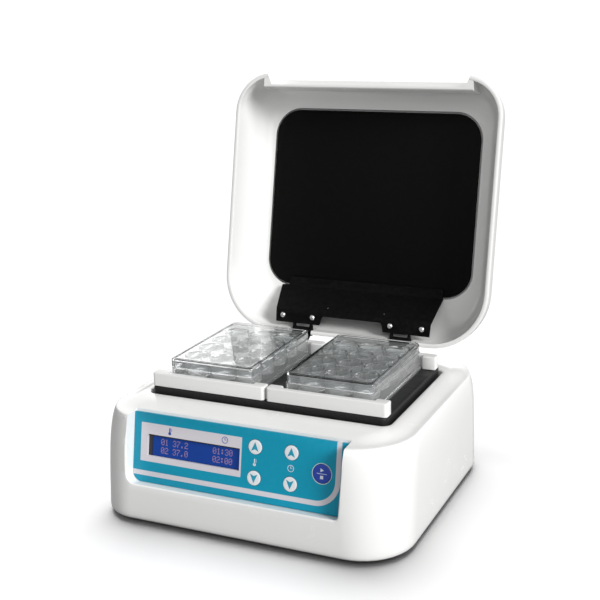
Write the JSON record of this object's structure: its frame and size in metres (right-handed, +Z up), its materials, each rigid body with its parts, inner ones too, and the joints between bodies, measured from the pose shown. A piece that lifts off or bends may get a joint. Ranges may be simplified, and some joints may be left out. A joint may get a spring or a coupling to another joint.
{
  "type": "orbital shaker",
  "caption": "Benchtop heated orbital shaker with a hinged white lid, a black platform carrying covered microplates, and a leaning teal control panel.",
  "frame": {"origin": "centre of the bounding box of the object standing with its lid open, at bench level under the feet", "axes": "+Z up, -Y towards the control panel, +X to the right of someone facing the panel"},
  "size_m": [0.2886, 0.3516, 0.3717],
  "materials": {
    "white_shell": "gloss white moulded shell",
    "rail_white": "satin white",
    "black_anodised": "black anodised",
    "black_enamel": "satin black enamel",
    "black_plastic": "black moulded",
    "teal_film": "printed film",
    "display_blue": "backlit display",
    "key_white": "satin",
    "key_blue": "satin",
    "clear_styrene": "clear moulded",
    "rubber": "matt black",
    "steel": "turned",
    "aluminium": "machined",
    "zinc_plate": "zinc plated sheet",
    "circuit_green": "solder mask",
    "foam": "grey insulation felt"
  },
  "bodies": {
    "base": {"upper_housing": "white_shell", "base_pan": "zinc_plate", "foot_front_left": "rubber", "foot_front_right": "rubber", "foot_rear_left": "rubber", "foot_rear_right": "rubber", "control_panel": "teal_film", "display": "display_blue", "key_board": "circuit_green", "drive_frame": "zinc_plate", "main_bearing": "steel", "motor_body": "steel", "drive_belt": "rubber", "hinge_block_left": "black_enamel", "hinge_block_right": "black_enamel", "power_inlet": "black_plastic", "switch_bezel": "black_plastic", "power_supply": "aluminium", "control_board": "circuit_green"},
    "crank": {"crankshaft": "steel", "counterweight": "steel", "crank_pulley": "aluminium"},
    "platform": {"platform_carrier": "aluminium", "platform_bearing": "steel", "heater_slab": "black_anodised", "rail_front_left": "rail_white", "rail_front_right": "rail_white", "rail_rear_left": "rail_white", "rail_rear_right": "rail_white"},
    "motor_rotor": {"motor_pulley": "aluminium"},
    "idler_rear_left": {"idler_rear_left": "steel"},
    "idler_rear_right": {"idler_rear_right": "steel"},
    "idler_front": {"idler_front": "steel"},
    "lid": {"lid_shell": "white_shell", "lid_insulation": "foam", "lid_heater_plate": "black_enamel", "hinge_bracket": "black_enamel", "bracket_screw_1": "steel", "bracket_screw_2": "steel", "bracket_screw_3": "steel", "bracket_screw_4": "steel", "hinge_pin_left": "steel", "hinge_pin_right": "steel"},
    "plate_left": {"microplate_left": "clear_styrene"},
    "plate_right": {"microplate_right": "clear_styrene"},
    "cover_left": {"plate_cover_left": "clear_styrene"},
    "cover_right": {"plate_cover_right": "clear_styrene"},
    "key_temp_up": {"key_temp_up": "key_white"},
    "key_temp_down": {"key_temp_down": "key_white"},
    "key_time_up": {"key_time_up": "key_white"},
    "key_time_down": {"key_time_down": "key_white"},
    "key_start_stop": {"key_start_stop": "key_blue"},
    "rocker": {"power_rocker": "black_plastic"}
  },
  "joints": [
    {"name": "lid_hinge", "type": "hinge", "parent": "base", "child": "lid", "pos_m": [0, 0.08609, 0.109], "axis": [-1, 0, 0], "range_deg": [-102, 0]},
    {"name": "crank_turn", "type": "hinge", "parent": "base", "child": "crank", "pos_m": [0, -0.04344, 0.07], "axis": [0, 0, 1], "continuous": true},
    {"name": "platform_orbit", "type": "hinge", "parent": "crank", "child": "platform", "pos_m": [0.0015, -0.04344, 0.08], "axis": [0, 0, 1], "continuous": true},
    {"name": "motor_turn", "type": "hinge", "parent": "base", "child": "motor_rotor", "pos_m": [0.07, -0.04344, 0.06], "axis": [0, 0, 1], "continuous": true},
    {"name": "idler_rear_left_turn", "type": "hinge", "parent": "base", "child": "idler_rear_left", "pos_m": [-0.09, 0.00256, 0.06], "axis": [0, 0, 1], "continuous": true},
    {"name": "idler_rear_right_turn", "type": "hinge", "parent": "base", "child": "idler_rear_right", "pos_m": [0.09, 0.00256, 0.06], "axis": [0, 0, 1], "continuous": true},
    {"name": "idler_front_turn", "type": "hinge", "parent": "base", "child": "idler_front", "pos_m": [0, -0.09944, 0.06], "axis": [0, 0, 1], "continuous": true},
    {"name": "plate_left_lift", "type": "slide", "parent": "platform", "child": "plate_left", "axis": [0, 0, 1], "range_m": [0, 0.08]},
    {"name": "cover_left_lift", "type": "slide", "parent": "plate_left", "child": "cover_left", "axis": [0, 0, 1], "range_m": [0, 0.04]},
    {"name": "plate_right_lift", "type": "slide", "parent": "platform", "child": "plate_right", "axis": [0, 0, 1], "range_m": [0, 0.08]},
    {"name": "cover_right_lift", "type": "slide", "parent": "plate_right", "child": "cover_right", "axis": [0, 0, 1], "range_m": [0, 0.04]},
    {"name": "key_temp_up_press", "type": "slide", "parent": "base", "child": "key_temp_up", "axis": [0, 0.9842, -0.1771], "range_m": [0, 0.0005], "stiffness_N_per_m": 1200, "springref_m": -0.0003},
    {"name": "key_temp_down_press", "type": "slide", "parent": "base", "child": "key_temp_down", "axis": [0, 0.9842, -0.1771], "range_m": [0, 0.0005], "stiffness_N_per_m": 1200, "springref_m": -0.0003},
    {"name": "key_time_up_press", "type": "slide", "parent": "base", "child": "key_time_up", "axis": [0, 0.9842, -0.1771], "range_m": [0, 0.0005], "stiffness_N_per_m": 1200, "springref_m": -0.0003},
    {"name": "key_time_down_press", "type": "slide", "parent": "base", "child": "key_time_down", "axis": [0, 0.9842, -0.1771], "range_m": [0, 0.0005], "stiffness_N_per_m": 1200, "springref_m": -0.0003},
    {"name": "key_start_stop_press", "type": "slide", "parent": "base", "child": "key_start_stop", "axis": [0, 0.9842, -0.1771], "range_m": [0, 0.0005], "stiffness_N_per_m": 1200, "springref_m": -0.0003},
    {"name": "rocker_tilt", "type": "hinge", "parent": "base", "child": "rocker", "pos_m": [0.082, 0.08007, 0.04], "axis": [1, 0, 0], "range_deg": [-18, 0]}
  ],
  "couplings": [
    {"joint": "platform_orbit", "follows": "crank_turn", "ratio": -1},
    {"joint": "motor_turn", "follows": "crank_turn", "ratio": 2.4444},
    {"joint": "idler_rear_left_turn", "follows": "crank_turn", "ratio": 1},
    {"joint": "idler_rear_right_turn", "follows": "crank_turn", "ratio": 1},
    {"joint": "idler_front_turn", "follows": "crank_turn", "ratio": 1}
  ]
}
